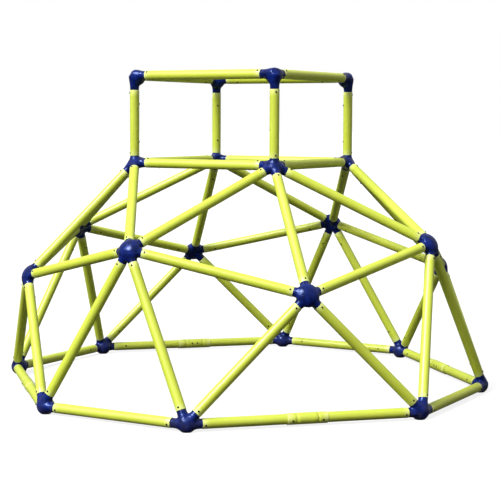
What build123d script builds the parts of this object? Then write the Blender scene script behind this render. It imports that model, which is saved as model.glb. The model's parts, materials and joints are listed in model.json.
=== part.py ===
from build123d import *
import math
import os

# Dome climber: 24 moulded plastic hubs joined by 60 round tubes, with an open square cage on top.
# Millimetres and degrees. +Z up, origin on the ground under the middle of the dome, the four sides
# of the cage facing -Y (front), +X (right), +Y (back) and -X (left).

# Overall frame. Rises are measured up from the centres of the ground hubs.
GROUND_RADIUS = 1000
GROUND_SIDE_ANGLE = 36.8  # between the two ground hubs of one side, seen from the middle
GROUND_HUB_HEIGHT = 29  # ground hub centre above the ground
CORNER_RADIUS = 894
CORNER_RISE = 446
SIDE_RADIUS = 841
SIDE_RISE = 595
DECK_RADIUS = 457
DECK_RISE = 896
CAGE_HEIGHT = 352  # deck hub centre to cage hub centre

# Tubes
TUBE_DIAMETER = 38
TUBE_WALL = 2
TUBE_GAP = 3  # least gap between the ends of two neighbouring tubes

# Hub arms: a collar that stops the tube, then a plug inside the tube
RAIL_REACH = 58  # hub centre to tube end, for level tubes and the heads of cage posts
STRUT_REACH = 53  # the same for sloping tubes
POST_FOOT_REACH = 29  # the same at the foot of a cage post
COLLAR_LIP = 1  # how far the collar stands over the tube's bore, all round
PLUG_CLEARANCE = 0.2  # all round, between plug and tube bore
PLUG_LENGTH = 72
PLUG_CHAMFER = 1.5

# Hub bodies
GROUND_BODY_RADIUS = 34
CAGE_BODY_RADIUS = 32
CAGE_BODY_DROP = 8  # the cage hub's ball sits this far down its post arm
BALL_INSET = 12  # the balls of ground and cage hubs sit this far in towards the dome's middle
RING_BODY_RADIUS = 46  # lens of the corner and side hubs
DECK_BODY_RADIUS = 40  # lens of the deck hubs
LENS_HEIGHT = 23  # hub centre to the middle of a lens's outer face
WEB_LENGTH = 44  # each arm flares towards the hub centre over this length
WEB_FLARE = 6.5  # how much wider the flare is at the centre

# Screws
SCREW_DIAMETER = 4
SCREW_HOLE_CLEARANCE = 0.1  # all round
SCREW_HEAD_DIAMETER = 7
SCREW_HEAD_HEIGHT = 2.2
SCREW_HEAD_ROUNDING = 1.2
SCREW_TIP_DIAMETER = 1
SCREW_LENGTH = 11  # under the head
SCREW_POINT = 2
OUTER_SCREW_INSET = 11  # from the tube end, on the face that looks out of the dome
INNER_SCREW_INSET = 56  # from the tube end, on the face that looks into the dome

# Splice sleeves in the long ground tubes
SLEEVE_LENGTH = 154
SLEEVE_WALL = 2
SLEEVE_CLEARANCE = 0.15  # all round
SLEEVE_STOP = 3  # ring in the middle that both tubes butt against
SLEEVE_CHAMFER = 0.8

# How far each kind of hub's outward direction leans up from level
OUTWARD_TILT = {"ground": -10, "corner": 20, "side": 30, "deck": 60, "cage": 35}

# The frame repeats every quarter turn. Each quarter holds one side and the corner after it,
# counter-clockwise seen from above, and the first quarter's side faces -Y.
SIDES = ["front", "right", "back", "left"]
CORNERS = ["front_right", "back_right", "back_left", "front_left"]
QUARTER_TURN = 90
FIRST_SIDE_AZIMUTH = -90
FIRST_CORNER_AZIMUTH = -45

TUBE_RADIUS = TUBE_DIAMETER / 2
BORE_RADIUS = TUBE_RADIUS - TUBE_WALL
COLLAR_RADIUS = BORE_RADIUS + COLLAR_LIP
PLUG_RADIUS = BORE_RADIUS - PLUG_CLEARANCE
HOLE_RADIUS = SCREW_DIAMETER / 2 + SCREW_HOLE_CLEARANCE
SLEEVE_BORE = TUBE_RADIUS + SLEEVE_CLEARANCE
SLEEVE_RADIUS = SLEEVE_BORE + SLEEVE_WALL


def level_direction(azimuth, tilt=0):
    """Unit vector at an azimuth, leaning up from level by tilt."""
    turn, lean = math.radians(azimuth), math.radians(tilt)
    return Vector(math.cos(turn) * math.cos(lean), math.sin(turn) * math.cos(lean), math.sin(lean))


def along(origin, direction, beside=None):
    """Location at origin whose Z runs in a direction and whose X is nearest to beside."""
    return Plane(origin=origin, x_dir=beside, z_dir=direction).location


def rod(radius, start, end):
    """Cylinder about Z from start to end."""
    return Pos(0, 0, (start + end) / 2) * Cylinder(radius, end - start)


class Hub:
    """One joint of the frame: where it is, which way it faces and the tubes that meet in it."""

    def __init__(self, kind, quarter, radius, azimuth, rise):
        self.kind = kind
        self.quarter = quarter
        azimuth += quarter * QUARTER_TURN
        self.outward = level_direction(azimuth, OUTWARD_TILT[kind])
        self.inward = level_direction(azimuth) * -1
        self.centre = level_direction(azimuth) * radius + Vector(0, 0, GROUND_HUB_HEIGHT + rise)
        self.arms = []

    def nominal_reach(self, direction):
        """Hub centre to tube end, before any room that close neighbours need."""
        if self.kind == "deck" and direction.Z > 0.9:
            return POST_FOOT_REACH
        level = abs(direction.Z) < 0.1
        return RAIL_REACH if level or self.kind == "cage" else STRUT_REACH

    def reach(self, direction):
        """Hub centre to tube end, far enough out to keep the gap to the next tube."""
        others = [arm for arm in self.arms if arm.get_angle(direction) > 1]
        half = math.radians(min(arm.get_angle(direction) for arm in others) / 2)
        room = (TUBE_RADIUS * math.cos(half) + TUBE_GAP / 2) / math.sin(half)
        return max(self.nominal_reach(direction), room)


class Span:
    """One straight run between two hubs, with the frame that its tubes, holes and screws use."""

    def __init__(self, start, end, spliced=False):
        self.start, self.end, self.spliced = start, end, spliced
        self.axis = (end.centre - start.centre).normalized()
        start.arms.append(self.axis)
        end.arms.append(self.axis * -1)
        outward = start.outward + end.outward
        self.outward = (outward - self.axis * outward.dot(self.axis)).normalized()

    def ends(self):
        """Distances of the run's two ends along the axis from the first hub's centre."""
        length = (self.end.centre - self.start.centre).length
        return self.start.reach(self.axis), length - self.end.reach(self.axis * -1)

    def hub_seats(self):
        """Screw seats at the two hubs."""
        start, end = self.ends()
        return end_screws(start, 1), end_screws(end, -1)

    def location(self):
        """Origin at the first hub's centre, Z along the run and X out of the dome."""
        return along(self.start.centre, self.axis, self.outward)


def hub_rings():
    """Node label to its four hubs, one in each quarter."""
    half = GROUND_SIDE_ANGLE / 2
    side, corner = FIRST_SIDE_AZIMUTH, FIRST_CORNER_AZIMUTH
    rows = {
        "ground_hub_{side}_a": ("ground", GROUND_RADIUS, side - half, 0),
        "ground_hub_{side}_b": ("ground", GROUND_RADIUS, side + half, 0),
        "corner_hub_{corner}": ("corner", CORNER_RADIUS, corner, CORNER_RISE),
        "side_hub_{side}": ("side", SIDE_RADIUS, side, SIDE_RISE),
        "deck_hub_{corner}": ("deck", DECK_RADIUS, corner, DECK_RISE),
        "cage_hub_{corner}": ("cage", DECK_RADIUS, corner, DECK_RISE + CAGE_HEIGHT),
    }
    quarters = range(len(SIDES))
    return {label: [Hub(row[0], quarter, *row[1:]) for quarter in quarters] for label, row in rows.items()}


def quarter_spans(rings, quarter):
    """Node label to the spans in it, for one quarter."""
    after = (quarter + 1) % len(SIDES)
    ground_a, ground_b, corners, sides, decks, cages = rings.values()
    corner, deck = corners[quarter], decks[quarter]
    pairs = {
        "ground_side_tube_{side}": [(ground_a[quarter], ground_b[quarter])],
        "deck_rail_{side}": [(decks[quarter - 1], deck)],
        "cage_rail_{side}": [(cages[quarter - 1], cages[quarter])],
        "cage_post_{corner}": [(deck, cages[quarter])],
        "ground_corner_tubes_{corner}": [(ground_b[quarter], ground_a[after], True)],
        "leg_tubes_{corner}": [
            (ground_b[quarter], corner),
            (ground_a[after], corner),
            (ground_b[quarter], sides[quarter]),
            (ground_a[after], sides[after]),
        ],
        "ring_tubes_{corner}": [(sides[quarter], corner), (corner, sides[after])],
        "riser_tubes_{corner}": [(corner, deck), (sides[quarter], deck), (sides[after], deck)],
    }
    return {label: [Span(*pair) for pair in row] for label, row in pairs.items()}


def end_screws(end, inward, facing=1):
    """Seats of the two screws at a tube end: distance along the tube and side (+1 looks out)."""
    outer = end + inward * OUTER_SCREW_INSET, facing
    inner = end + inward * INNER_SCREW_INSET, -facing
    return [outer, inner]


def hole(distance, side):
    """Drill for one screw, from the tube's axis out through one side."""
    drill = Rot(0, side * 90, 0) * rod(HOLE_RADIUS, 0, SLEEVE_RADIUS + 1)
    return Pos(0, 0, distance) * drill


def tube_solid(start, end, seats):
    """Round tube between two distances, drilled at its screw seats."""
    return rod(TUBE_RADIUS, start, end) - [rod(BORE_RADIUS, start, end), *(hole(*seat) for seat in seats)]


def screw_solid():
    """Pan-head screw about Z, head up, with the underside of its head at the origin."""
    head = rod(SCREW_HEAD_DIAMETER / 2, 0, SCREW_HEAD_HEIGHT)
    rim = head.edges().filter_by(GeomType.CIRCLE).sort_by(Axis.Z)[-1]
    head = fillet(rim, SCREW_HEAD_ROUNDING)
    shank = rod(SCREW_DIAMETER / 2, SCREW_POINT - SCREW_LENGTH, 0)
    middle = SCREW_POINT / 2 - SCREW_LENGTH
    point = Pos(0, 0, middle) * Cone(SCREW_TIP_DIAMETER / 2, SCREW_DIAMETER / 2, SCREW_POINT)
    return head + [shank, point]


def screws_for(screw, location, seats, seat_radius):
    """Placed copies of the screw for the seats of one tube, standing on its outside."""
    placed = []
    for distance, side in seats:
        seat = Pos(0, 0, distance) * Rot(0, side * 90, 0) * Pos(0, 0, seat_radius)
        placed.append(location * seat * screw)
    return placed


def sleeve_solid(middle, seats):
    """Splice sleeve about Z at a distance, with a stop ring between the two tube ends."""
    half = SLEEVE_LENGTH / 2
    body = rod(SLEEVE_RADIUS, middle - half, middle + half)
    rims = body.edges().filter_by(GeomType.CIRCLE)
    body = chamfer(rims, SLEEVE_CHAMFER)
    stop = SLEEVE_STOP / 2
    cuts = [
        rod(SLEEVE_BORE, middle - half, middle - stop),
        rod(SLEEVE_BORE, middle + stop, middle + half),
        rod(BORE_RADIUS, middle - stop - 1, middle + stop + 1),
    ]
    return body - [*cuts, *(hole(*seat) for seat in seats)]


def lens_body(outward, radius):
    """Lens with two equal domed faces, facing outward; its axis passes through the hub centre."""
    curve = (radius**2 + LENS_HEIGHT**2) / (2 * LENS_HEIGHT)
    depth = curve - LENS_HEIGHT
    lens = (Pos(0, 0, depth) * Sphere(curve)) & (Pos(0, 0, -depth) * Sphere(curve))
    return along((0, 0, 0), outward) * lens


def hub_body(hub):
    """The swollen middle of a hub, about its own centre."""
    if hub.kind == "ground":
        return Pos(hub.inward * BALL_INSET) * Sphere(GROUND_BODY_RADIUS)
    if hub.kind == "cage":
        return Pos(hub.inward * BALL_INSET - Vector(0, 0, CAGE_BODY_DROP)) * Sphere(CAGE_BODY_RADIUS)
    if hub.kind == "deck":
        return lens_body(hub.outward, DECK_BODY_RADIUS)
    return lens_body(hub.outward, RING_BODY_RADIUS)


def hub_solid(hub, drills):
    """Body and flared arms with collars and plugs, drilled for the tube screws."""
    solid = hub_body(hub)
    for direction in hub.arms:
        place = along((0, 0, 0), direction)
        reach = hub.reach(direction)
        plug = rod(PLUG_RADIUS, 0, reach + PLUG_LENGTH)
        plug = chamfer(plug.edges().filter_by(GeomType.CIRCLE).sort_by(Axis.Z)[-1], PLUG_CHAMFER)
        web_end = min(WEB_LENGTH, reach)
        web = Pos(0, 0, web_end / 2) * Cone(COLLAR_RADIUS + WEB_FLARE, COLLAR_RADIUS, web_end)
        solid += [place * piece for piece in (plug, rod(COLLAR_RADIUS, 0, reach), web)]
    solid = Pos(hub.centre) * solid
    for drill in drills:
        solid -= drill
    if hub.kind == "ground":
        depth = 2 * GROUND_BODY_RADIUS
        solid -= Pos(hub.centre.X, hub.centre.Y, -depth / 2) * Box(2 * depth, 2 * depth, depth)
    return solid


def span_pieces(span, screw):
    """Tubes, sleeves and screws of one span, in place."""
    start, end = span.ends()
    first, last = span.hub_seats()
    place = span.location()
    screws = screws_for(screw, place, first + last, TUBE_RADIUS)
    if not span.spliced:
        return [place * tube_solid(start, end, first + last)], [], screws
    middle = (start + end) / 2
    stops = middle - SLEEVE_STOP / 2, middle + SLEEVE_STOP / 2
    splice = end_screws(stops[0], -1, -1), end_screws(stops[1], 1, -1)
    tubes = [
        place * tube_solid(start, stops[0], first + splice[0]),
        place * tube_solid(stops[1], end, last + splice[1]),
    ]
    sleeve = place * sleeve_solid(middle, splice[0] + splice[1])
    return tubes, [sleeve], screws + screws_for(screw, place, splice[0] + splice[1], SLEEVE_RADIUS)


def screw_group(label):
    """Which group of screws a tube's own screws belong to."""
    level = label.split("_")[0]
    return {"ground": "ground_screws", "deck": "top_screws", "cage": "top_screws"}.get(level, "wall_screws")


def turned(solids, quarter):
    """Copies of the first quarter's solids in another quarter."""
    return [Rot(0, 0, quarter * QUARTER_TURN) * solid for solid in solids]


def write(name, solids):
    """One STEP file for one node."""
    shape = solids[0] if len(solids) == 1 else Compound(children=list(solids))
    shape.label = name
    export_step(shape, os.path.join("parts", name + ".step"))


def main():
    os.makedirs("parts", exist_ok=True)
    rings = hub_rings()
    quarters = [quarter_spans(rings, quarter) for quarter in range(len(SIDES))]
    first_hubs = {label: ring[0] for label, ring in rings.items()}
    drills = {label: [] for label in rings}
    for spans in quarters:
        for span in sum(spans.values(), []):
            for hub, seats in zip((span.start, span.end), span.hub_seats()):
                for label in (label for label, first in first_hubs.items() if first is hub):
                    drills[label].extend(span.location() * hole(*seat) for seat in seats)

    placed = {label: [hub_solid(hub, drills[label])] for label, hub in first_hubs.items()}
    whole = {"splice_sleeves": [], "ground_screws": [], "wall_screws": [], "top_screws": []}
    screw = screw_solid()
    for label, spans in quarters[0].items():
        placed[label] = []
        for span in spans:
            tubes, sleeves, screws = span_pieces(span, screw)
            placed[label].extend(tubes)
            whole["splice_sleeves"].extend(sleeves)
            whole[screw_group(label)].extend(screws)

    for quarter, (side, corner) in enumerate(zip(SIDES, CORNERS)):
        for label, solids in placed.items():
            write(label.format(side=side, corner=corner), turned(solids, quarter))
    for name, solids in whole.items():
        write(name, sum((turned(solids, quarter) for quarter in range(len(SIDES))), []))


main()
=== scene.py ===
import json
import math

import bmesh
import bpy
import numpy as np
from mathutils import Matrix, Vector


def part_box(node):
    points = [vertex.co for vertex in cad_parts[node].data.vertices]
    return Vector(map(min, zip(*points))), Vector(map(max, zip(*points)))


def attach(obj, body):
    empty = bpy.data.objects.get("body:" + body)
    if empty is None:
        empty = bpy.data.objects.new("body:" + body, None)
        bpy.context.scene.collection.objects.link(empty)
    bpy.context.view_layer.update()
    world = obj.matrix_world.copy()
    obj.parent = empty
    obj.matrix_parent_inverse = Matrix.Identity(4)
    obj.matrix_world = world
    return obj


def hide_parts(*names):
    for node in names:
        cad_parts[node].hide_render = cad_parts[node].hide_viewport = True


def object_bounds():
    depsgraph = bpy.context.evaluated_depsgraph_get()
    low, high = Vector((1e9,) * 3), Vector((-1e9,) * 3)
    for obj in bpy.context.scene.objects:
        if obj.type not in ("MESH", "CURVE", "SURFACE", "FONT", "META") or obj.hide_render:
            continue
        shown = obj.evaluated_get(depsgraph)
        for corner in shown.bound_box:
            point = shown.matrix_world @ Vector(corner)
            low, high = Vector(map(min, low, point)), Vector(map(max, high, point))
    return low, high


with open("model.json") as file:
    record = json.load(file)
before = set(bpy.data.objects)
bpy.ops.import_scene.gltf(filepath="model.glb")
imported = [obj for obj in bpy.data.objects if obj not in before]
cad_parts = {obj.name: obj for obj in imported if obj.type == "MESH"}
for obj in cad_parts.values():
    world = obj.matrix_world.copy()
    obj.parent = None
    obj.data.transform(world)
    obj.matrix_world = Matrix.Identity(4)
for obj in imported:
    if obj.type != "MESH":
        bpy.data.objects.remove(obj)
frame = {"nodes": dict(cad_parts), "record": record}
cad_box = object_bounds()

# Dome climber: lime plastic tubes, dark blue moulded hubs, black screws. Metres, in the CAD's frame.
# Every place and size is read from the CAD nodes' meshes; the numbers named here are finishes.
# The object is the same in each quarter turn about Z, which make_hubs relies on.

NODES = frame["nodes"]
SLOTS = {entry["node"]: entry["material_slot"] for entry in frame["record"]["subparts"]}
SIDES = ["front", "right", "back", "left"]
CORNERS = ["front_right", "back_right", "back_left", "front_left"]
QUARTER_TURN = math.radians(90)
WELD_DISTANCE = 1e-6         # CAD vertices nearer than this are one

# Tubes and sleeves
TUBE_SEGMENTS = 48
RING_SPACING = 0.025         # between rings of vertices along a tube
LIP_RADIUS = 0.0006          # rounding of a tube's cut edges
LIP_STEPS = 3
PATTERN_SHIFT = 1.7          # offsets each tube's texture from the one before
HARD_CORNER = math.radians(50)
SLEEVE_LIP_RADIUS = 0.0009
GROOVE_DEPTH = 0.0006        # moulded groove round each half of a sleeve
GROOVE_HALF_WIDTH = 0.0013
GROOVE_INSET = 0.0355        # from the sleeve's end

# Hubs
HUB_VOXEL = 0.0024
HUB_SMOOTH_STEPS = 18
HUB_SMOOTH_PULL = 0.6        # share of the way to its neighbours' mean that a vertex moves in a step
CUT_PAST_TUBE_END = 0.004    # the moulded body runs this far into each tube before the plug starts
COLLAR_HOLD = 0.009          # the smoothing fades out over this length before a tube end
ARM_ZONE = 0.024             # a vertex this near an arm's axis belongs to the arm
PLUG_CHAMFER = 0.0015
PLUG_SEGMENTS = 40
COLLAR_SWELL = 0.0006        # makes up for what the smoothing takes off
CUT_MARGIN = 0.006           # only an arm's last stretch before its tube end is cut
FLOOR_SNAP = 0.0012          # vertices this near the ground lie on it

# Screws
SCREW_SEGMENTS = 28
HEAD_ROUNDING = 0.0012
SHANK_RADIUS = 0.002
RECESS_DEPTH = 0.0013
RECESS_HALF_WIDTH = 0.0005
RECESS_REACH = 0.002
RECESS_TAPER = 0.6           # length of a slot's bottom as a share of its top

# View: a long lens from the front right, a little above the deck, aimed slightly down
SENSOR_WIDTH = 36
LENS = 103.4
CAMERA_PLACE = (2.974, -5.181, 1.103)
CAMERA_PITCH = 5.2
CAMERA_TURN = 29.57
CAMERA_ROLL = 0.25
BACKDROP_RADIUS = 120
FLOOR_HALF_WIDTH = 150


# --- Reading the frame ---------------------------------------------------------------------------

def loose_solids(node):
    """Vertex positions of each separate solid in a CAD node, as a list of arrays."""
    mesh = bmesh.new()
    mesh.from_mesh(NODES[node].data)
    bmesh.ops.remove_doubles(mesh, verts=mesh.verts, dist=WELD_DISTANCE)
    mesh.verts.index_update()
    seen, groups = set(), []
    for start in mesh.verts:
        if start.index in seen:
            continue
        seen.add(start.index)
        stack, group = [start], []
        while stack:
            vert = stack.pop()
            group.append(vert.co[:])
            for edge in vert.link_edges:
                other = edge.other_vert(vert)
                if other.index not in seen:
                    seen.add(other.index)
                    stack.append(other)
        groups.append(np.array(group))
    mesh.free()
    return groups


def main_axis(points):
    """Centre and longest direction of a cloud of points."""
    centre = points.mean(axis=0)
    values, vectors = np.linalg.eigh(np.cov((points - centre).T))
    return centre, vectors[:, np.argmax(values)]


def split_along(points, centre, axis):
    """Distance along an axis, and away from it, of each point."""
    offset = points - centre
    along = offset @ axis
    away = np.linalg.norm(offset - np.outer(along, axis), axis=1)
    return along, away


class Pipe:
    """A round tube read back from its solid: two end centres, outer and inner radius."""

    def __init__(self, points):
        centre, axis = main_axis(points)
        along = (points - centre) @ axis
        rims = [points[along < along.min() + 0.001], points[along > along.max() - 0.001]]
        self.start, self.end = (rim.mean(axis=0) for rim in rims)
        self.length = np.linalg.norm(self.end - self.start)
        self.axis = (self.end - self.start) / self.length
        away = split_along(rims[0], self.start, self.axis)[1]
        self.outer, self.inner = away.max(), away.min()

    def matrix(self):
        """Places a shape that stands on the origin along Z onto the tube."""
        turn = Vector(self.axis).to_track_quat("Z", "X").to_matrix().to_4x4()
        return Matrix.Translation(Vector(self.start)) @ turn


# --- Mesh building -------------------------------------------------------------------------------

def lathe(profile, segments, closed=True):
    """Vertices and faces of a profile of (radius, height) turned about Z."""
    angles = np.arange(segments) * 2 * math.pi / segments
    circle = np.stack([np.cos(angles), np.sin(angles), np.zeros(segments)], 1)
    rings = [r * circle + (0, 0, z) for r, z in profile]
    verts = np.concatenate(rings)
    faces = []
    count = len(profile)
    for ring in range(count if closed else count - 1):
        low, high = ring * segments, (ring + 1) % count * segments
        for step in range(segments):
            after = (step + 1) % segments
            faces.append((low + step, low + after, high + after, high + step))
    if not closed:
        faces.append(tuple(range(segments - 1, -1, -1)))
        faces.append(tuple((count - 1) * segments + step for step in range(segments)))
    return verts, faces


def rounded_corner(radius, height, lip, first, last):
    """Points of a rounded corner whose arc centre is at (radius, height), angles in degrees."""
    angles = np.radians(np.linspace(first, last, LIP_STEPS + 1))
    return [(radius + lip * math.cos(a), height + lip * math.sin(a)) for a in angles]


def pipe_profile(pipe, lip):
    """Closed outline of a tube wall with rounded rims, from the bottom outer corner round."""
    length, outer, inner = pipe.length, pipe.outer, pipe.inner
    rings = max(2, int(length / RING_SPACING))
    heights = np.linspace(lip, length - lip, rings + 1)[1:-1]
    outside = rounded_corner(outer - lip, lip, lip, -90, 0) + [(outer, z) for z in heights]
    top = rounded_corner(outer - lip, length - lip, lip, 0, 90)
    top += rounded_corner(inner + lip, length - lip, lip, 90, 180)
    inside = [(inner, length * share) for share in (0.75, 0.5, 0.25)]
    return outside + top + inside + rounded_corner(inner + lip, lip, lip, 180, 270)


def mesh_object(name, verts, faces, attributes=()):
    """Mesh object in the scene, smooth shaded, with named per-vertex attributes."""
    mesh = bpy.data.meshes.new(name)
    mesh.from_pydata([tuple(v) for v in verts], [], faces)
    for label, kind, values in attributes:
        layer = mesh.attributes.new(label, kind, "POINT")
        key = "vector" if kind == "FLOAT_VECTOR" else "value"
        layer.data.foreach_set(key, np.asarray(values, np.float32).ravel())
    mesh.validate()
    fix_normals(mesh)
    piece = bpy.data.objects.new(name, mesh)
    bpy.context.scene.collection.objects.link(piece)
    return piece


def fix_normals(mesh):
    """Faces look outwards and shade smoothly, with sharp edges kept at hard corners."""
    work = bmesh.new()
    work.from_mesh(mesh)
    bmesh.ops.recalc_face_normals(work, faces=work.faces)
    work.to_mesh(mesh)
    work.free()
    mesh.shade_smooth()
    mesh.set_sharp_from_angle(angle=HARD_CORNER)


def stack(parts):
    """Joins several (verts, faces) into one."""
    verts, faces, shift = [], [], 0
    for part_verts, part_faces in parts:
        verts.append(np.asarray(part_verts))
        faces.extend(tuple(index + shift for index in face) for face in part_faces)
        shift += len(part_verts)
    return np.concatenate(verts), faces


def placed(matrix, verts):
    """Vertices moved by a 4x4 matrix."""
    array = np.array(matrix)
    return verts @ array[:3, :3].T + array[:3, 3]


def stand_for(piece, node, material):
    """The piece rides on the frame, takes the node's place and slot, and gets its finish."""
    piece.data.materials.clear()
    piece.data.materials.append(material)
    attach(piece, "root")
    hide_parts(node)
    return piece


# --- Tubes and sleeves ---------------------------------------------------------------------------

def make_pipes(node, lip, material, groove=False):
    """One piece for a node of tubes or sleeves. Returns the piece and the tubes it holds."""
    parts, local, cut, pipes = [], [], [], []
    for points in loose_solids(node):
        pipe = Pipe(points)
        profile = pipe_profile(pipe, lip)
        if groove:
            profile = with_grooves(profile, pipe)
            profile = with_stop(profile, pipe, points)
        verts, faces = lathe(profile, TUBE_SEGMENTS)
        ends = np.minimum(verts[:, 2], pipe.length - verts[:, 2])
        parts.append((placed(pipe.matrix(), verts), faces))
        local.append(verts + np.array([0, 0, len(pipes) * PATTERN_SHIFT]))
        cut.append((ends < lip * 1.01).astype(float))
        pipes.append(pipe)
    verts, faces = stack(parts)
    attributes = [
        ("tube_co", "FLOAT_VECTOR", np.concatenate(local)),
        ("cut", "FLOAT", np.concatenate(cut)),
    ]
    piece = mesh_object(node + "_skin", verts, faces, attributes)
    return stand_for(piece, node, material), pipes


def with_grooves(profile, pipe):
    """Adds a shallow moulded groove near each end of a sleeve's outside."""
    plain = list(profile)
    outline = [(-1, 0), (-0.5, 1), (0.5, 1), (1, 0)]
    for centre in (GROOVE_INSET, pipe.length - GROOVE_INSET):
        points = [
            (pipe.outer - GROOVE_DEPTH * deep, centre + GROOVE_HALF_WIDTH * side)
            for side, deep in outline
        ]
        wall = [i for i, (r, z) in enumerate(plain) if r == pipe.outer]
        clear = [i for i in wall if abs(plain[i][1] - centre) < 2 * GROOVE_HALF_WIDTH]
        plain = [point for i, point in enumerate(plain) if i not in clear]
        after = next(i for i, (r, z) in enumerate(plain) if r == pipe.outer and z > centre)
        plain[after:after] = points
    return plain


def with_stop(profile, pipe, points):
    """Adds the ring inside a sleeve that its two tubes butt against."""
    along, away = split_along(points, pipe.start, pipe.axis)
    ring = away < pipe.inner - 0.0005
    low, high, bore = along[ring].min(), along[ring].max(), away[ring].min()
    middle = (pipe.length * 0.2, pipe.length * 0.8)
    wall = [i for i, (r, z) in enumerate(profile) if r == pipe.inner and middle[0] < z < middle[1]]
    step = [(pipe.inner, high), (bore, high), (bore, low), (pipe.inner, low)]
    return profile[:wall[0]] + step + profile[wall[-1] + 1:]


# --- Hubs ----------------------------------------------------------------------------------------

class Arm:
    """One arm of a hub: its direction, where its tube ends and where its plug ends."""

    def __init__(self, centre, mouth, points, bore):
        self.reach = np.linalg.norm(mouth - centre)
        self.direction = (mouth - centre) / self.reach
        along, away = split_along(points, centre, self.direction)
        inside = (away < bore) & (along > self.reach + 0.01)
        self.tip = along[inside].max()
        self.radius = away[inside].max()

    def matrix(self, centre):
        """Places a shape that stands on the origin along Z onto the arm."""
        turn = Vector(self.direction).to_track_quat("Z", "X").to_matrix().to_4x4()
        return Matrix.Translation(Vector(centre)) @ turn


def meeting_point(lines):
    """The point nearest to a set of (point, direction) lines."""
    total, target = np.zeros((3, 3)), np.zeros(3)
    for point, direction in lines:
        flat = np.eye(3) - np.outer(direction, direction)
        total += flat
        target += flat @ point
    return np.linalg.solve(total, target)


def hub_arms(node, pipes):
    """Centre and arms of a hub, found from the tubes whose ends lie inside its box."""
    low, high = (np.array(corner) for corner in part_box(node))
    mouths = []
    for pipe in pipes:
        for end in (pipe.start, pipe.end):
            if (end > low).all() and (end < high).all():
                mouths.append((end, pipe))
    centre = meeting_point([(end, pipe.axis) for end, pipe in mouths])
    points = np.array([v.co for v in NODES[node].data.vertices])
    return centre, [Arm(centre, end, points, pipe.inner) for end, pipe in mouths]


def remeshed_hub(node):
    """The hub's surface as one even mesh."""
    source = NODES[node].data.copy()
    work = bpy.data.objects.new("hub_work", source)
    bpy.context.scene.collection.objects.link(work)
    weld = work.modifiers.new("weld", "WELD")
    weld.merge_threshold = WELD_DISTANCE
    modifier = work.modifiers.new("voxels", "REMESH")
    modifier.mode = "VOXEL"
    modifier.voxel_size = HUB_VOXEL
    modifier.adaptivity = 0
    bpy.context.view_layer.update()
    even = bpy.data.meshes.new_from_object(work.evaluated_get(bpy.context.evaluated_depsgraph_get()))
    bpy.data.objects.remove(work)
    bpy.data.meshes.remove(source)
    return even


def cut_at_tube_ends(mesh, centre, arms):
    """Cuts each arm off just inside its tube and closes it with a flat face."""
    work = bmesh.new()
    work.from_mesh(mesh)
    for arm in arms:
        direction = Vector(arm.direction)
        cut = arm.reach + CUT_PAST_TUBE_END
        near = []
        for vert in work.verts:
            offset = vert.co - Vector(centre)
            along = offset.dot(direction)
            if along > arm.reach - CUT_MARGIN and (offset - direction * along).length < ARM_ZONE:
                near.append(vert)
        chosen = set(near)
        edges = {edge for vert in near for edge in vert.link_edges if set(edge.verts) <= chosen}
        faces = {face for vert in near for face in vert.link_faces if set(face.verts) <= chosen}
        result = bmesh.ops.bisect_plane(
            work, geom=near + list(edges) + list(faces), plane_co=Vector(centre) + direction * cut,
            plane_no=direction, clear_outer=True,
        )
        rim = [item for item in result["geom_cut"] if isinstance(item, bmesh.types.BMEdge)]
        bmesh.ops.holes_fill(work, edges=rim)
    work.to_mesh(mesh)
    work.free()


def smooth_fillets(mesh, centre, arms):
    """Melts the body and arms together, leaving the arms round where they meet the tubes."""
    count = len(mesh.vertices)
    points = np.zeros(count * 3)
    mesh.vertices.foreach_get("co", points)
    points = points.reshape(-1, 3)
    edges = np.zeros(len(mesh.edges) * 2, int)
    mesh.edges.foreach_get("vertices", edges)
    edges = edges.reshape(-1, 2)
    weight = np.ones(count)
    for arm in arms:
        along, away = split_along(points, centre, arm.direction)
        fade = np.clip((arm.reach - 0.001 - along) / COLLAR_HOLD, 0, 1)
        weight = np.where((away < ARM_ZONE) & (along > 0), np.minimum(weight, fade), weight)
    floor = cad_box[0][2]
    links = np.bincount(edges.ravel(), minlength=count)
    for _ in range(HUB_SMOOTH_STEPS):
        total = np.zeros_like(points)
        np.add.at(total, edges[:, 0], points[edges[:, 1]])
        np.add.at(total, edges[:, 1], points[edges[:, 0]])
        mean = total / np.maximum(links, 1)[:, None]
        points += (mean - points) * (HUB_SMOOTH_PULL * weight)[:, None]
    mesh.vertices.foreach_set("co", points.ravel())
    normals = np.zeros(count * 3)
    mesh.vertex_normals.foreach_get("vector", normals)
    points += normals.reshape(-1, 3) * (COLLAR_SWELL * weight)[:, None]
    on_ground = points[:, 2] < floor + FLOOR_SNAP
    points[on_ground, 2] = floor
    mesh.vertices.foreach_set("co", points.ravel())


def plug_part(centre, arm):
    """The plug that reaches into a tube, from the cut in the body to its chamfered tip."""
    bottom, tip = arm.reach + CUT_PAST_TUBE_END, arm.tip
    outline = [(arm.radius, bottom), (arm.radius, tip - PLUG_CHAMFER), (arm.radius - PLUG_CHAMFER, tip)]
    verts, faces = lathe(outline, PLUG_SEGMENTS, closed=False)
    return placed(arm.matrix(centre), verts), faces


def hub_mesh(node, pipes):
    """Finished mesh of one hub: smooth body and plugs."""
    centre, arms = hub_arms(node, pipes)
    body = remeshed_hub(node)
    cut_at_tube_ends(body, centre, arms)
    smooth_fillets(body, centre, arms)
    verts = np.array([v.co for v in body.vertices])
    faces = [tuple(face.vertices) for face in body.polygons]
    bpy.data.meshes.remove(body)
    return stack([(verts, faces)] + [plug_part(centre, arm) for arm in arms])


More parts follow.
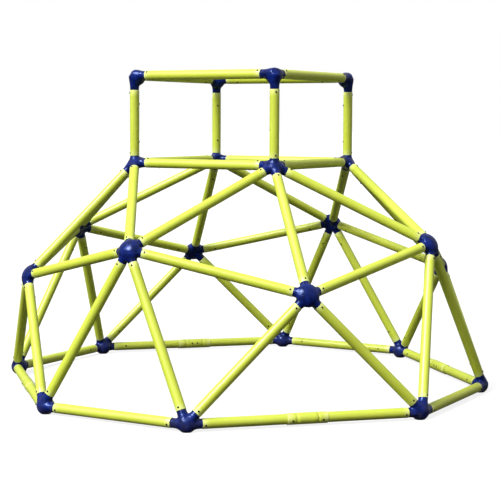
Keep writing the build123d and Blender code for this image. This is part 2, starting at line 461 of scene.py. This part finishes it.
def make_hubs(label, pipes, material):
    """The four hubs of one kind: the first is shaped, the others are it in their own quarter."""
    verts, faces = hub_mesh(label.format(side=SIDES[0], corner=CORNERS[0]), pipes)
    for quarter, (side, corner) in enumerate(zip(SIDES, CORNERS)):
        node = label.format(side=side, corner=corner)
        turn = Matrix.Rotation(quarter * QUARTER_TURN, 4, "Z")
        piece = mesh_object(node + "_body", placed(turn, verts), faces)
        stand_for(piece, node, material)


# --- Screws --------------------------------------------------------------------------------------

def cross_box(long_x):
    """Box for one slot of the cross recess, tapered lengthwise, standing through the head's top."""
    half = (RECESS_REACH, RECESS_HALF_WIDTH) if long_x else (RECESS_HALF_WIDTH, RECESS_REACH)
    verts = []
    for x, y, z in [(x, y, z) for z in (-1, 1) for y in (-1, 1) for x in (-1, 1)]:
        taper = 1 if z > 0 else RECESS_TAPER
        along_x, along_y = (taper, 1) if long_x else (1, taper)
        verts.append((x * half[0] * along_x, y * half[1] * along_y, z * RECESS_DEPTH))
    faces = [(0, 2, 3, 1), (4, 5, 7, 6), (0, 1, 5, 4), (2, 6, 7, 3), (0, 4, 6, 2), (1, 3, 7, 5)]
    return verts, faces


def master_screw(head_radius, head_height, length):
    """Pan-head screw with a cross recess, head underside at the origin, head up."""
    crown = rounded_corner(head_radius - HEAD_ROUNDING, head_height - HEAD_ROUNDING, HEAD_ROUNDING, 0, 80)
    outline = [
        (0.0005, -length), (SHANK_RADIUS, -length + 0.002), (SHANK_RADIUS, 0), (head_radius, 0),
        (head_radius, 0.0003), *crown, (head_radius * 0.3, head_height),
    ]
    screw = mesh_object("screw_master", *lathe(outline, SCREW_SEGMENTS, closed=False))
    cutters = []
    for long_x in (True, False):
        verts, faces = cross_box(long_x)
        cutter = mesh_object("screw_cutter", [(x, y, z + head_height) for x, y, z in verts], faces)
        cut = screw.modifiers.new("slot", "BOOLEAN")
        cut.operation = "DIFFERENCE"
        cut.object = cutter
        cut.solver = "EXACT"
        cutters.append(cutter)
    bpy.context.view_layer.update()
    mesh = bpy.data.meshes.new_from_object(screw.evaluated_get(bpy.context.evaluated_depsgraph_get()))
    verts = np.array([v.co for v in mesh.vertices])
    faces = [tuple(face.vertices) for face in mesh.polygons]
    for helper in (screw, *cutters):
        bpy.data.objects.remove(helper)
    bpy.data.meshes.remove(mesh)
    return verts, faces


def make_screws(node, material, spin):
    """All screws of a node as one piece, each turned to its own angle."""
    parts, master = [], None
    for points in loose_solids(node):
        centre, axis = main_axis(points)
        along, away = split_along(points, centre, axis)
        head_radius = away.max()
        if along[away > head_radius * 0.9].mean() < 0:
            axis, along = -axis, -along
        seat = along[away > head_radius * 0.99].min()
        if master is None:
            master = master_screw(head_radius, along.max() - seat, seat - along.min())
        turn = Vector(axis).to_track_quat("Z", "X").to_matrix().to_4x4()
        matrix = Matrix.Translation(Vector(centre + axis * seat)) @ turn
        matrix = matrix @ Matrix.Rotation(spin.uniform(0, math.pi), 4, "Z")
        parts.append((placed(matrix, master[0]), master[1]))
    piece = mesh_object(node + "_set", *stack(parts))
    return stand_for(piece, node, material)


# --- Materials -----------------------------------------------------------------------------------

class Shader:
    """Small helper that adds and links the nodes of one material."""

    def __init__(self, name):
        self.material = bpy.data.materials.new(name)
        self.material.use_nodes = True
        self.tree = self.material.node_tree
        self.surface = self.tree.nodes["Principled BSDF"]

    def node(self, kind, inputs=(), **settings):
        made = self.tree.nodes.new(kind)
        for key, value in settings.items():
            setattr(made, key, value)
        for key, value in dict(inputs).items():
            if isinstance(value, bpy.types.NodeSocket):
                self.tree.links.new(value, made.inputs[key])
            else:
                made.inputs[key].default_value = value
        return made

    def place(self):
        """Position in the object's own frame."""
        return self.node("ShaderNodeTexCoord").outputs["Object"]

    def noise(self, vector, scale, detail=3.0, stretch=(1, 1, 1)):
        moved = self.node("ShaderNodeMapping", {"Vector": vector, "Scale": stretch})
        texture = self.node("ShaderNodeTexNoise", {
            "Vector": moved.outputs[0], "Scale": scale, "Detail": detail,
        })
        return texture.outputs[0]

    def remap(self, value, low, high, to_low=0.0, to_high=1.0):
        made = self.node("ShaderNodeMapRange", {
            "Value": value, "From Min": low, "From Max": high, "To Min": to_low, "To Max": to_high,
        })
        return made.outputs[0]

    def math(self, operation, first, second):
        return self.node("ShaderNodeMath", {0: first, 1: second}, operation=operation).outputs[0]

    def mix(self, factor, first, second):
        made = self.node("ShaderNodeMix", data_type="RGBA")
        for key, value in (("Factor", factor), ("A", first), ("B", second)):
            kind = "NodeSocketFloat" if key == "Factor" else "NodeSocketColor"
            socket = next(s for s in made.inputs if s.name == key and s.bl_idname.startswith(kind))
            if isinstance(value, bpy.types.NodeSocket):
                self.tree.links.new(value, socket)
            else:
                socket.default_value = value
        return next(s for s in made.outputs if s.bl_idname.startswith("NodeSocketColor"))

    def bump(self, height, distance, strength=1.0, normal=None):
        inputs = {"Height": height, "Distance": distance, "Strength": strength}
        if normal is not None:
            inputs["Normal"] = normal
        return self.node("ShaderNodeBump", inputs).outputs[0]

    def dust(self, reach):
        """1 at the ground, fading to 0 at a height, broken up by noise."""
        height = self.node("ShaderNodeSeparateXYZ", {0: self.place()}).outputs["Z"]
        low = self.remap(height, reach, 0.0)
        return self.math("MULTIPLY", low, self.remap(self.noise(self.place(), 45, 5), 0.35, 0.75))

    def finish(self, colour, roughness, normal, **fixed):
        for key, value in (("Base Color", colour), ("Roughness", roughness), ("Normal", normal)):
            if isinstance(value, bpy.types.NodeSocket):
                self.tree.links.new(value, self.surface.inputs[key])
            else:
                self.surface.inputs[key].default_value = value
        for key, value in fixed.items():
            self.surface.inputs[key.replace("_", " ")].default_value = value
        return self.material


def linear(red, green, blue):
    """Linear colour from 0-255 screen values."""
    def channel(value):
        value /= 255
        return value / 12.92 if value <= 0.04045 else ((value + 0.055) / 1.055) ** 2.4
    return channel(red), channel(green), channel(blue), 1.0


def lime_plastic():
    """Extruded tube: faint lengthwise die lines, slight colour drift, pale cut rims, scuffs, dust."""
    s = Shader("lime_plastic")
    tube = s.node("ShaderNodeAttribute", attribute_name="tube_co").outputs["Vector"]
    cut = s.node("ShaderNodeAttribute", attribute_name="cut").outputs["Fac"]
    drift = s.remap(s.noise(s.place(), 5, 4), 0.3, 0.7)
    lines = s.noise(tube, 1.0, 4, stretch=(420, 420, 3))
    scuffs = s.remap(s.noise(tube, 1.0, 6, stretch=(95, 95, 38)), 0.63, 0.74)
    grain = s.noise(tube, 900, 2)
    colour = s.mix(drift, linear(188, 200, 58), linear(200, 213, 72))
    colour = s.mix(s.remap(lines, 0.35, 0.65, 0, 0.22), colour, linear(176, 190, 40))
    colour = s.mix(s.math("MULTIPLY", scuffs, 0.16), colour, linear(222, 228, 150))
    colour = s.mix(s.math("MULTIPLY", cut, 0.55), colour, linear(232, 238, 160))
    colour = s.mix(s.math("MULTIPLY", s.dust(0.07), 0.22), colour, linear(150, 140, 112))
    rough = s.math("ADD", s.remap(lines, 0.3, 0.7, 0.33, 0.4), s.math("MULTIPLY", scuffs, 0.16))
    normal = s.bump(lines, 0.00008, 0.6)
    normal = s.bump(grain, 0.00003, 0.5, normal)
    return s.finish(colour, rough, normal, Coat_Weight=0.35, Coat_Roughness=0.5)


def blue_plastic():
    """Glossy moulding: soft sink marks that break the highlights, fine grain, worn ridges, dust."""
    s = Shader("blue_plastic")
    flow = s.noise(s.place(), 42, 2)
    sink = s.noise(s.place(), 95, 3)
    grain = s.noise(s.place(), 1400, 2)
    scuffs = s.remap(s.noise(s.place(), 170, 7), 0.62, 0.72)
    worn = s.remap(s.node("ShaderNodeNewGeometry").outputs["Pointiness"], 0.52, 0.6)
    colour = s.mix(s.remap(flow, 0.35, 0.65), linear(4, 15, 66), linear(7, 28, 104))
    colour = s.mix(s.math("MULTIPLY", scuffs, 0.1), colour, linear(96, 112, 170))
    colour = s.mix(s.math("MULTIPLY", worn, 0.18), colour, linear(78, 98, 172))
    colour = s.mix(s.math("MULTIPLY", s.dust(0.06), 0.25), colour, linear(120, 112, 96))
    rough = s.math("ADD", s.remap(sink, 0.3, 0.7, 0.2, 0.34), s.math("MULTIPLY", scuffs, 0.2))
    normal = s.bump(sink, 0.0016, 0.8)
    normal = s.bump(grain, 0.00004, 0.5, normal)
    tint = linear(168, 190, 255)
    return s.finish(colour, rough, normal, Specular_IOR_Level=0.5, Specular_Tint=tint)


def black_screw():
    """Black-coated steel, rubbed bare along its edges."""
    s = Shader("black_screw")
    spots = s.noise(s.place(), 900, 4)
    worn = s.remap(s.node("ShaderNodeNewGeometry").outputs["Pointiness"], 0.53, 0.62)
    colour = s.mix(s.remap(spots, 0.35, 0.7), linear(24, 24, 27), linear(46, 46, 48))
    colour = s.mix(s.math("MULTIPLY", worn, 0.35), colour, linear(120, 120, 122))
    rough = s.remap(spots, 0.3, 0.7, 0.38, 0.56)
    return s.finish(colour, rough, s.bump(spots, 0.00006, 0.6), Metallic=0.7)


# --- Studio --------------------------------------------------------------------------------------

def make_camera():
    """The photo's view: heading, then downward pitch, then a slight roll."""
    data = bpy.data.cameras.new("camera")
    data.sensor_width = SENSOR_WIDTH
    data.lens = LENS
    camera = bpy.data.objects.new("camera", data)
    camera.location = CAMERA_PLACE
    turn = Matrix.Rotation(math.radians(CAMERA_TURN), 4, "Z")
    tip = Matrix.Rotation(math.radians(90 - CAMERA_PITCH), 4, "X")
    roll = Matrix.Rotation(math.radians(CAMERA_ROLL), 4, "Z")
    camera.rotation_euler = (turn @ tip @ roll).to_euler()
    bpy.context.scene.collection.objects.link(camera)
    bpy.context.scene.camera = camera


def make_floor():
    """Near-white floor that takes a faint shadow and throws no light back on the object."""
    mesh = bpy.data.meshes.new("floor")
    half = FLOOR_HALF_WIDTH
    corners = [(-half, -half, 0), (half, -half, 0), (half, half, 0), (-half, half, 0)]
    mesh.from_pydata(corners, [], [(0, 1, 2, 3)])
    floor = bpy.data.objects.new("floor", mesh)
    bpy.context.scene.collection.objects.link(floor)
    floor.visible_diffuse = False
    floor.visible_glossy = False
    material = bpy.data.materials.new("floor_white")
    material.use_nodes = True
    surface = material.node_tree.nodes["Principled BSDF"]
    surface.inputs["Base Color"].default_value = (0.2, 0.2, 0.2, 1)
    surface.inputs["Roughness"].default_value = 1
    surface.inputs["Specular IOR Level"].default_value = 0
    surface.inputs["Emission Color"].default_value = (1, 1, 1, 1)
    surface.inputs["Emission Strength"].default_value = 0.82
    mesh.materials.append(material)


def make_backdrop():
    """White shell far behind everything, seen by the camera alone, so it lights nothing."""
    shell = bmesh.new()
    bmesh.ops.create_uvsphere(shell, u_segments=48, v_segments=24, radius=BACKDROP_RADIUS)
    mesh = bpy.data.meshes.new("backdrop")
    shell.to_mesh(mesh)
    shell.free()
    backdrop = bpy.data.objects.new("backdrop", mesh)
    bpy.context.scene.collection.objects.link(backdrop)
    for ray in ("diffuse", "glossy", "transmission", "shadow"):
        setattr(backdrop, "visible_" + ray, False)
    material = bpy.data.materials.new("backdrop_white")
    material.use_nodes = True
    surface = material.node_tree.nodes["Principled BSDF"]
    surface.inputs["Base Color"].default_value = (0, 0, 0, 1)
    surface.inputs["Specular IOR Level"].default_value = 0
    surface.inputs["Emission Color"].default_value = (1, 1, 1, 1)
    surface.inputs["Emission Strength"].default_value = 1
    mesh.materials.append(material)


def make_light():
    """Grey surround, brightest overhead, and a soft key light from the upper left of the view."""
    scene = bpy.context.scene
    scene.view_settings.view_transform = "Standard"
    world = bpy.data.worlds.new("studio")
    scene.world = world
    world.use_nodes = True
    nodes, links = world.node_tree.nodes, world.node_tree.links
    place = nodes.new("ShaderNodeTexCoord")
    split = nodes.new("ShaderNodeSeparateXYZ")
    ramp = nodes.new("ShaderNodeValToRGB")
    lift = nodes.new("ShaderNodeMapRange")
    links.new(place.outputs["Generated"], split.inputs[0])
    links.new(split.outputs["Z"], lift.inputs["Value"])
    lift.inputs["From Min"].default_value = -1
    links.new(lift.outputs[0], ramp.inputs[0])
    links.new(ramp.outputs[0], nodes["Background"].inputs["Color"])
    stops = [(0.0, 0.05), (0.45, 0.1), (0.53, 0.32), (0.75, 0.5), (1.0, 0.75)]
    for stop in stops[1:-1]:
        ramp.color_ramp.elements.new(stop[0])
    for element, (place_at, grey) in zip(ramp.color_ramp.elements, stops):
        element.position = place_at
        element.color = (grey, grey, grey, 1)

    turn = math.radians(CAMERA_TURN)
    left = Vector((-math.cos(turn), -math.sin(turn), 0))
    near = Vector((math.sin(turn), -math.cos(turn), 0))
    direction = (left * 0.8 + near * 0.75 + Vector((0, 0, 1.15))).normalized()
    key = bpy.data.lights.new("key", "SUN")
    key.energy = 5.3
    key.angle = math.radians(24)
    lamp = bpy.data.objects.new("key", key)
    lamp.rotation_euler = direction.to_track_quat("Z", "Y").to_euler()
    scene.collection.objects.link(lamp)


# --- The whole scene -----------------------------------------------------------------------------

def main():
    make_camera()
    make_light()
    make_floor()
    make_backdrop()
    lime, blue, black = lime_plastic(), blue_plastic(), black_screw()
    pipes = []
    for node, slot in SLOTS.items():
        if slot == "tube_plastic" and node != "splice_sleeves":
            pipes.extend(make_pipes(node, LIP_RADIUS, lime)[1])
    make_pipes("splice_sleeves", SLEEVE_LIP_RADIUS, lime, groove=True)
    ground = ["ground_hub_{side}_a", "ground_hub_{side}_b"]
    upper = ["side_hub_{side}", "corner_hub_{corner}", "deck_hub_{corner}", "cage_hub_{corner}"]
    for label in ground + upper:
        make_hubs(label, pipes, blue)
    spin = np.random.default_rng(7)
    for node, slot in SLOTS.items():
        if slot == "screw_steel":
            make_screws(node, black, spin)


main()
